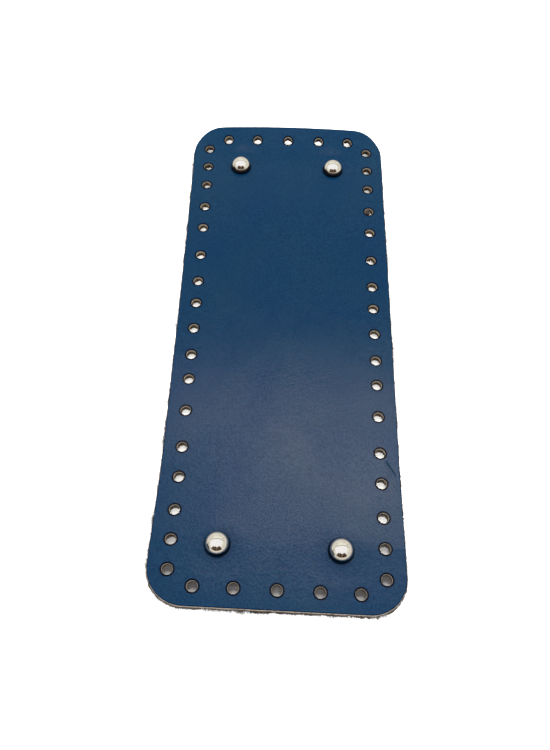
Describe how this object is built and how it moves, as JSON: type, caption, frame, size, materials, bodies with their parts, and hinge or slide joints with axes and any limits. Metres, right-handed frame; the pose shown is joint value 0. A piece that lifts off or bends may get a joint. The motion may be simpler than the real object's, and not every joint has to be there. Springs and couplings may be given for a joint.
{
  "type": "leather bag base",
  "caption": "Rounded rectangle of thick leather, punched round its border for lacing on a crocheted bag, with screwed-on domed metal feet.",
  "frame": {"origin": "middle of the base, on the plane that the four screw heads of the flesh side stand on", "axes": "+Z out of the grain side, towards the domes; +Y along the base's length; +X across it"},
  "size_m": [0.1, 0.25, 0.0103],
  "materials": {
    "dyed_leather": "smooth blue dyed grain side, raw tan cut edges and suede flesh side",
    "nickel_plate": "mirror polished nickel plate",
    "zinc_steel": "bright zinc plated steel with turning marks"
  },
  "bodies": {
    "root": {"leather_panel": "dyed_leather", "foot_dome_near_left": "nickel_plate", "foot_dome_near_right": "nickel_plate", "foot_dome_far_left": "nickel_plate", "foot_dome_far_right": "nickel_plate", "foot_washer_near_left": "zinc_steel", "foot_washer_near_right": "zinc_steel", "foot_washer_far_left": "zinc_steel", "foot_washer_far_right": "zinc_steel", "foot_screw_near_left": "zinc_steel", "foot_screw_near_right": "zinc_steel", "foot_screw_far_left": "zinc_steel", "foot_screw_far_right": "zinc_steel"}
  },
  "joints": []
}
